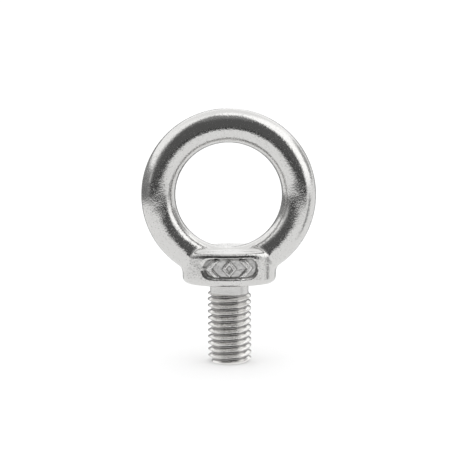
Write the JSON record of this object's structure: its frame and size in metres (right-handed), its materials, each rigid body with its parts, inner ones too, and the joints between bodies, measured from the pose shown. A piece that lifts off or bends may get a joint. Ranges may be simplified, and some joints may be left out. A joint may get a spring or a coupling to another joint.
{
  "type": "lifting eye bolt",
  "caption": "Lifting eye bolt: a round ring on a bowed collar, with a plain neck and a coarse-threaded shank that screws into a tapped hole.",
  "frame": {"origin": "centre of the collar's underside, the face that seats on the work, on the thread's axis", "axes": "+Z from the seat up to the ring, along the thread's axis; the ring lies in the XZ plane, so the eye opens along Y, and -Y is the front"},
  "size_m": [0.0476, 0.0172, 0.0703],
  "materials": {
    "polished_casting": "polished investment-cast stainless steel",
    "rolled_thread": "rolled thread and turned neck, satin stainless steel"
  },
  "bodies": {
    "root": {"lifting_ring": "polished_casting", "collar": "polished_casting", "front_marks": "polished_casting", "rear_marks": "polished_casting", "neck": "rolled_thread", "threaded_shank": "rolled_thread"}
  },
  "joints": []
}
